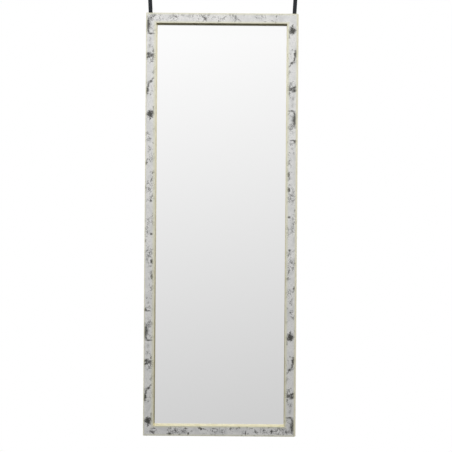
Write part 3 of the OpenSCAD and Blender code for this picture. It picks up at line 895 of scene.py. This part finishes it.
def tacks(side):
    """A boxed zigzag of stitches on the front and the back of the sewn end."""
    mesh = bmesh.new()
    # The tack keeps clear of the loop, of the sewn end and of the selvedges
    low, high, half = LOOP_NECK + 1 * MM, SEWN_END - 1.5 * MM, STRAP_W / 2 - 1.6 * MM
    count = round((high - low) / (STITCH / 2))
    rows = [low + (high - low) * k / count for k in range(count + 1)]
    for front in (-1, 1):
        depth = front * (PLY_Y + STRAP_T / 2 - THREAD_SUNK)
        lift = Vector((0, front * THREAD_BOW, 0))
        zigzag = [Vector((half * (1 if k % 2 else -1), depth, z)) for k, z in enumerate(rows)]
        frame_line = [Vector((x, depth, z)) for x in (-half, half) for z in rows[::2]]
        lines = list(zip(zigzag, zigzag[1:]))
        lines += [(a, b) for a, b in zip(frame_line, frame_line[1:]) if abs(a.x - b.x) < MM]
        for a, b in lines:
            steps = max(1, round((b - a).length / STITCH))
            for k in range(steps):
                ends = [a.lerp(b, (k + part) / steps) for part in (STITCH_GAP, 1 - STITCH_GAP)]
                lean = [Vector((p.x - SPLAY * p.z, p.y, p.z)) + ring_bar for p in ends]
                thread(mesh, *lean, lift)
    if side == "right":
        mesh.transform(MIRRORED)
    return mesh


tacked = {side: tacks(side) for side in ("left", "right")}
print("each tack is sewn with stitches of", STITCH / MM, "mm")

# %% [markdown]
# The thread is spun polyester, a paler black than the webbing, so the tack shows. Its plies twist round
# each other, and the shade in the grooves between them is painted as darker slanting bands a fraction of
# a millimetre apart.

# %% Sewing thread
# A wave of scale 1 draws its slanting bands 0.36 mm apart
PLIES = 2.0


def sewing_thread():
    material, tree = new_material("sewing_thread")
    spot = millimetres(tree)
    painted_ply_groove_shade = add(tree, "TexWave", {"Vector": spot, "Scale": PLIES}, "Fac", bands_direction="DIAGONAL")
    # Painted shade: the grooves between the plies take the darker black
    colour = add(tree, "Mix", {0: painted_ply_groove_shade, 6: "#292c31", 7: "#3a3e44"}, 2, data_type="RGBA")
    return surface(material, Base_Color=colour, Roughness=0.5, Sheen_Weight=0.3)


polyester = sewing_thread()
for side, mesh in tacked.items():
    piece(side + "_stitching", mesh, "straps", [], polyester, smooth_below=80)

# %% [markdown]
# ## The sliders
#
# Each slider is one acetal moulding: two cheeks joined by two bars in front of the webbing and one behind
# it. The cheeks have rounded edges and three grip ribs on the outside, and the surface is lightly
# textured by the mould.

# %% Mould the sliders
SLIDER_H = 14 * MM
CHEEK = 2.5 * MM
CHEEK_EDGE = 0.7 * MM
# The grip ribs: how far they stand out, their thickness, height, edge, pitch and distance to the rim
GRIP_RISE, GRIP_T, GRIP_H, GRIP_EDGE = 0.3 * MM, 0.8 * MM, 1.1 * MM, 0.3 * MM
GRIP_PITCH, GRIP_RIM = 2.6 * MM, 1.2 * MM
SLIDER_BAR_R = 1.2 * MM
SLIDER_PLAY = 0.3 * MM
gap_w = STRAP_W + 2 * SLIDER_PLAY
bar_depth = STRAP_T + HALF_GAP + SLIDER_PLAY + SLIDER_BAR_R
cheek_depth = 2 * (bar_depth + SLIDER_BAR_R)


def slider_mesh(node):
    low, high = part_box(node)
    mesh = bmesh.new()
    for side in (-1, 1):
        middle = side * (gap_w + CHEEK - GRIP_RISE) / 2
        cheek = (CHEEK - GRIP_RISE, cheek_depth, SLIDER_H)
        rounded_block(mesh, cheek, CHEEK_EDGE, (middle, 0, 0))
        outside = side * (gap_w / 2 + CHEEK - GRIP_T / 2)
        grip = (GRIP_T, cheek_depth - 2 * GRIP_RIM, GRIP_H)
        for k in (-1, 0, 1):
            rounded_block(mesh, grip, GRIP_EDGE, (outside, 0, k * GRIP_PITCH))
    for depth, height in ((-bar_depth, -1), (-bar_depth, 1), (bar_depth, 0)):
        z = height * (SLIDER_H / 2 - SLIDER_BAR_R)
        half = gap_w / 2 + CHEEK / 2
        profile = [(0, -half), (SLIDER_BAR_R, -half), (SLIDER_BAR_R, half), (0, half)]
        turned(mesh, profile, (0, depth, z), (1, 0, 0), sides=24)
    tilt = Matrix.Rotation(-LEAN if node.startswith("left") else LEAN, 4, "Y")
    mesh.transform(Matrix.Translation((low + high) / 2) @ tilt)
    return mesh


print("the webbing's gap in a slider is", round(gap_w / MM, 1), "mm wide")
print("a slider's cheeks are", round(cheek_depth / MM, 1), "mm deep")

# %% [markdown]
# Black acetal comes from a spark eroded mould, whose fine grit gives an even, half dull surface.

# %% Black acetal
# Sizes in millimetres: the flow of the melt and the grit of the mould
FLOW, GRIT = 2.0, 0.3


def acetal():
    material, tree = new_material("black_acetal")
    spot = millimetres(tree)
    flow = add(tree, "TexNoise", {"Vector": spot, "Scale": 1 / FLOW}, "Fac")
    colour = add(tree, "Mix", {0: flow, 6: "#1c1d20", 7: "#26282b"}, 2, data_type="RGBA")
    rough = add(tree, "MapRange", {0: flow, **NOISE_RANGE, 3: 0.38, 4: 0.52}, 0, **SMOOTH)
    grit = add(tree, "TexNoise", {"Vector": spot, "Scale": 1 / GRIT, "Detail": 1.0}, "Fac")
    relief = add(tree, "Bump", {"Height": grit, "Distance": 0.02 * MM}, "Normal")
    return surface(material, Base_Color=colour, Roughness=rough, IOR=1.48, Normal=relief)


black_acetal = acetal()
for side in ("left", "right"):
    node = side + "_slider"
    mesh = slider_mesh(node)
    piece(side + "_adjuster", mesh, node, [node], black_acetal, smooth_below=40)

# %% [markdown]
# ## Screws
#
# Pan head wood screws hold the ring plates. The head is a turned dome with a cross recess. The recess is
# cut as a press would stamp it, by a boolean with one tapered blade and then with another across it. One
# cut after the other leaves clean faces where the two cross.

# %% Cut a shape away
def cut_away(mesh, cutter):
    """The mesh with the cutter's shape taken out of it."""
    parts = []
    for name, shape in (("kept", mesh), ("cutter", cutter)):
        bmesh.ops.recalc_face_normals(shape, faces=shape.faces)
        parts.append(add_object(name, mesh_data(name, shape)))
    kept, blade = parts
    modifier = kept.modifiers.new("recess", "BOOLEAN")
    modifier.object = blade
    modifier.solver = "EXACT"
    bpy.context.view_layer.update()
    result = bmesh.new()
    result.from_mesh(kept.evaluated_get(bpy.context.evaluated_depsgraph_get()).to_mesh())
    for part in parts:
        bpy.data.objects.remove(part)
    print("cut to", len(result.faces), "faces")
    return result


# %% [markdown]
# The screw is turned from its point to the top of its head, and the two blades are swept from a wide
# mouth above the head to a narrow foot inside it.

# %% Turn the screw
HEAD_R, HEAD_H, SHANK_R = 2.8 * MM, 1.6 * MM, 1.4 * MM
SHANK, TAPER = 9 * MM, 2.5 * MM
# The share of the head's radius that is flat, and of its height that is an upright rim
FLAT_TOP, RIM = 0.62, 0.35


def screw():
    """One screw, with its seat at the origin and its head towards +Y."""
    body = bmesh.new()
    dome = [(HEAD_R, 0.0), (HEAD_R, RIM * HEAD_H)]
    for angle in [math.radians(15 * k) for k in range(1, 7)]:
        out = FLAT_TOP + (1 - FLAT_TOP) * math.cos(angle)
        up = RIM + (1 - RIM) * math.sin(angle)
        dome.append((HEAD_R * out, HEAD_H * up))
    shank = [(0, -SHANK), (0.3 * MM, -SHANK), (SHANK_R, TAPER - SHANK), (SHANK_R, 0)]
    turned(body, shank + dome + [(0, HEAD_H)], (0, 0, 0), (0, 1, 0), sides=36)
    # Height, half the length and half the width of a blade at its two ends
    mouth = (HEAD_H + 0.3 * MM, HEAD_R * 0.62, 0.42 * MM)
    foot = (HEAD_H - 1.15 * MM, HEAD_R * 0.3, 0.21 * MM)
    for turn in (0, 90):
        spin = Matrix.Rotation(math.radians(turn), 4, "Y")
        rings = []
        for y, wing, half in (mouth, foot):
            around = ((-1, -1), (1, -1), (1, 1), (-1, 1))
            rings.append([spin @ Vector((sx * wing, y, sz * half)) for sx, sz in around])
        blade = bmesh.new()
        loft(blade, rings)
        body = cut_away(body, blade)
    return body


one_screw = screw()
print("a screw head is", 2 * HEAD_R / MM, "mm across and", HEAD_H / MM, "mm high")

# %% [markdown]
# Four screws stand in the holes of the two plates. Nobody lines screws up, so each cross is turned its
# own way.

# %% Drive the screws
plate_low, plate_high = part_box("left_ring_plate")
screw_low, screw_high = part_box("plate_screws")
PLATE_T = 1.1 * MM


def screws():
    mesh = bmesh.new()
    shape = mesh_data("screw_shape", one_screw)
    plate_x = (plate_low.x + plate_high.x) / 2
    heights = (screw_high.z - HEAD_R, screw_low.z + HEAD_R)
    for x in (plate_x, -plate_x):
        for turn, z in zip((12, 57), heights):
            placed = bmesh.new()
            placed.from_mesh(shape)
            spin = Matrix.Rotation(math.radians(turn if x < 0 else -turn), 4, "Y")
            placed.transform(Matrix.Translation((x, back_y + PLATE_T, z)) @ spin)
            join(mesh, placed)
    bpy.data.meshes.remove(shape)
    return mesh


piece("pan_head_screws", screws(), "mirror", ["plate_screws"], zinc, smooth_below=30)

# %% [markdown]
# ## Bumpers and pads
#
# The bumpers are self-adhesive rubber buttons with a flat top that leans on the door. They are turned,
# with a rim that is rounded as the mould rounds it.

# %% Turn the bumpers
bump_low, bump_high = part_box("door_bumpers")
bumper_t = bump_high.y - bump_low.y
BUMPER_R, BUMPER_TIP = 7 * MM, 6 * MM
# The round of the top, and how far in and up the foot's bevel goes
BUMPER_EDGE, FOOT_IN, FOOT_UP = 1.4 * MM, 0.2 * MM, 0.25 * MM


def bumpers():
    mesh = bmesh.new()
    rim = [(BUMPER_TIP + BUMPER_EDGE * (math.cos(a) - 1), bumper_t + BUMPER_EDGE * (math.sin(a) - 1))
        for a in [math.radians(18 * k) for k in range(6)]]
    foot = [(0, 0), (BUMPER_R - FOOT_IN, 0), (BUMPER_R, FOOT_UP)]
    profile = foot + rim + [(0, bumper_t)]
    for x in (bump_low.x + BUMPER_R, bump_high.x - BUMPER_R):
        for z in (bump_low.z + BUMPER_R, bump_high.z - BUMPER_R):
            turned(mesh, profile, (x, back_y, z), (0, 1, 0), sides=40)
    return mesh


print("a bumper is", round(bumper_t / MM, 1), "mm thick and", 2 * BUMPER_R / MM, "mm across")

# %% [markdown]
# The rubber is dark grey, and quite dull. It sweats out a pale bloom, in clouds of a few millimetres.

# %% Moulded rubber
BLOOM = 4.0


def moulded_rubber():
    material, tree = new_material("moulded_rubber")
    spot = millimetres(tree)
    bloom = add(tree, "TexNoise", {"Vector": spot, "Scale": 1 / BLOOM, "Detail": 3.0}, "Fac")
    colour = add(tree, "Mix", {0: bloom, 6: "#222326", 7: "#34353a"}, 2, data_type="RGBA")
    rough = add(tree, "MapRange", {0: bloom, **NOISE_RANGE, 3: 0.6, 4: 0.8}, 0, **SMOOTH)
    return surface(material, Base_Color=colour, Roughness=rough, IOR=1.52)


rubber = moulded_rubber()
piece("rubber_bumpers", bumpers(), "mirror", ["door_bumpers"], rubber, smooth_below=40)

# %% [markdown]
# Closed cell foam is cut from a block, so its face is full of opened cells. The hollow of each cell is
# painted darker as shade, which leaves the rims paler. The cells are drawn 0.9 mm wide, about twice their
# real size, to show in the render.

# %% Closed cell foam
FOAM_CELL = 0.9


def closed_cell_foam():
    material, tree = new_material("closed_cell_foam")
    spot = millimetres(tree)
    to_rim = add(tree, "TexVoronoi", {"Vector": spot, "Scale": 1 / FOAM_CELL}, "Distance",
        feature="DISTANCE_TO_EDGE")
    hollow_and_painted_shade = add(tree, "MapRange", {0: to_rim, 2: 0.25}, 0, **SMOOTH)
    # Painted shade: the hollow of each cell takes the darker grey, its rim the paler one
    colour = add(tree, "Mix", {0: hollow_and_painted_shade, 6: "#404145", 7: "#2b2c2f"}, 2, data_type="RGBA")
    relief = add(tree, "Bump", {"Height": hollow_and_painted_shade, "Distance": 0.12 * MM}, "Normal", invert=True)
    return surface(material, Base_Color=colour, Roughness=0.92, IOR=1.4, Normal=relief)


foam = closed_cell_foam()

# %% [markdown]
# The pads are strips of that foam, stuck inside each hook so that the steel never scratches the door.
# Each fills the box of its CAD solid, with soft edges.

# %% Foam pads of the hooks
PAD_EDGE = 0.7 * MM


def solids_of(node):
    """The box of each separate solid in a CAD node."""
    shape = bmesh.new()
    shape.from_mesh(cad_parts[node].data)
    bmesh.ops.remove_doubles(shape, verts=shape.verts, dist=SAME_POINT)
    seen, boxes = set(), []
    for first in shape.verts:
        front = [] if first in seen else [first]
        points = []
        while front:
            vert = front.pop()
            seen.add(vert)
            points.append(vert.co)
            near = [edge.other_vert(vert) for edge in vert.link_edges]
            front += [v for v in near if v not in seen]
        if points:
            boxes.append([Vector([pick(p[i] for p in points) for i in range(3)]) for pick in (min, max)])
    shape.free()
    return boxes


for side in ("left", "right"):
    mesh = bmesh.new()
    for low, high in solids_of(side + "_hook_pads"):
        rounded_block(mesh, high - low, PAD_EDGE, (low + high) / 2, segments=4, profile=0.6)
    pads = piece(side + "_foam_pads", mesh, "hooks", [side + "_hook_pads"], foam, smooth_below=50)

# %% [markdown]
# ## Stage and light
#
# The mirror hangs, so the floor is far below it, as under a door. It is painted in a pale warm grey, is
# kept out of the reflections, and fades out towards its rim, because the photograph is cut out on white.

# %% Floor
FLOOR_R, FLOOR_Z = 2.2, -2.0
FADE_START, FLOOR_CLOUD = 0.5, 0.5


def pale_floor():
    mesh = bmesh.new()
    bmesh.ops.create_circle(mesh, cap_ends=True, segments=96, radius=FLOOR_R)
    floor = add_object("floor", mesh_data("floor", mesh))
    floor.location = (0, 0, FLOOR_Z)
    material, tree = new_material("pale_floor")
    spot = add(tree, "TexCoord", out="Object")
    tone = add(tree, "TexNoise", {"Vector": spot, "Scale": 1 / FLOOR_CLOUD, "Detail": 3.0}, "Fac")
    colour = add(tree, "Mix", {0: tone, 6: "#e6e5e2", 7: "#ecebe8"}, 2, data_type="RGBA")
    paint = add(tree, "BsdfPrincipled", {"Base Color": colour, "Roughness": 0.8}, "BSDF")
    away = add(tree, "VectorMath", {0: spot}, "Value", operation="LENGTH")
    rim = add(tree, "MapRange", {0: away, 1: FADE_START, 2: FLOOR_R}, 0, **SMOOTH)
    faded = add(tree, "MixShader", {0: rim, 1: paint, 2: add(tree, "BsdfTransparent", out="BSDF")}, 0)
    add(tree, "OutputMaterial", {"Surface": faded})
    floor.data.materials.append(material)
    floor.visible_glossy = False
    floor.visible_diffuse = False
    floor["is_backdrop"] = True
    print("the floor is", FLOOR_Z, "m high and", FLOOR_R, "m in radius")


pale_floor()

# %% [markdown]
# In the photograph the mirror shows nothing but an even fall from white at the top to light grey at the
# bottom. A mirror shows what is in front of it, so the surroundings themselves have that fall of
# brightness. They look white straight behind the part, and give a weak glow to dull surfaces. Light that
# comes by way of the glass, as on the inner lips, falls off faster from above to below.

# %% Surroundings
# Each range goes from the height of a direction, or from how far right it is, to a brightness
FALL = {1: -0.279, 2: 0.266, 3: 0.655, 4: 0.998}
DARK_BELOW = {1: -0.5, 2: -0.302, 3: 0.2}
PALER_LEFT = {1: -0.5, 2: 0.5, 3: 1.1, 4: 0.93}
WEAK_GLOW = {1: -0.15, 2: 0.3, 3: 0.01, 4: 0.42}
STEEP_FALL = {1: -0.25, 2: 0.25, 4: 1.15}


def surroundings():
    world = bpy.data.worlds.new("studio")
    bpy.context.scene.world = world
    world.use_nodes = True
    tree = world.node_tree
    tree.nodes.clear()
    towards = add(tree, "SeparateXYZ", {0: add(tree, "TexCoord", out="Generated")}).outputs
    fall = add(tree, "MapRange", {0: towards["Z"], **FALL}, 0)
    low = add(tree, "MapRange", {0: towards["Z"], **DARK_BELOW}, 0, **SMOOTH)
    to_left = add(tree, "MapRange", {0: towards["X"], **PALER_LEFT}, 0)
    shade = add(tree, "Math", {0: fall, 1: low}, 0, operation="MULTIPLY")
    shade = add(tree, "Math", {0: shade, 1: to_left}, 0, operation="MULTIPLY")
    glow = add(tree, "MapRange", {0: towards["Z"], **WEAK_GLOW}, 0, **SMOOTH)
    steep = add(tree, "MapRange", {0: towards["Z"], **STEEP_FALL}, 0, **SMOOTH)
    behind, mirrored, scattered, by_glass = [
        add(tree, "Background", {"Color": "#ffffff", "Strength": strength}, 0)
        for strength in (1.0, shade, glow, steep)]
    ray = add(tree, "LightPath").outputs
    lit = add(tree, "MixShader", {0: ray["Is Diffuse Ray"], 1: mirrored, 2: scattered}, 0)
    # A ray that left a rail and then the glass arrives here as the third of its path
    later = add(tree, "Math", {0: ray["Ray Depth"], 1: 2.5}, 0, operation="GREATER_THAN")
    lit = add(tree, "MixShader", {0: later, 1: lit, 2: by_glass}, 0)
    seen = add(tree, "MixShader", {0: ray["Is Camera Ray"], 1: lit, 2: behind}, 0)
    add(tree, "OutputWorld", {"Surface": seen})
    print("the surroundings are", len(tree.nodes), "nodes")


surroundings()

# %% [markdown]
# The lamps only light the surfaces: the glass doesn't show them. A wide softbox above the camera lights
# the face, two on the sides light the slopes of the frame, and one behind lights the straps, the hooks
# and the back.

# %% Lamps
def softbox(name, place, aim, size, power):
    """A rectangular lamp that points from place to aim."""
    data = bpy.data.lights.new(name, "AREA")
    data.shape = "RECTANGLE"
    data.size, data.size_y = size
    data.energy = power
    lamp = add_object(name, data)
    lamp.location = place
    lamp.rotation_euler = (Vector(aim) - Vector(place)).to_track_quat("-Z", "Y").to_euler()
    lamp.visible_glossy = False
    lamp.visible_camera = False
    print(name, "gives", power, "W")


softbox("key_above", (0, -1.5, 0.15), (0, 0, -0.35), (2.4, 0.7), 20)
softbox("side_left", (-2.2, -0.9, -0.2), (0, 0, -0.4), (0.8, 1.2), 12.5)
softbox("side_right", (2.2, -0.7, -0.35), (0, 0, -0.5), (0.8, 1.4), 15)
softbox("back_above", (0, 1.7, 0.5), (0, 0, -0.6), (2.0, 0.8), 26)
bpy.context.scene.view_settings.view_transform = "Standard"

# %% [markdown]
# The last step prints the size of the finished model.

# %% Sizes and finish
low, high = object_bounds()
print("visual box in mm:", [round(c / MM, 1) for c in high - low])
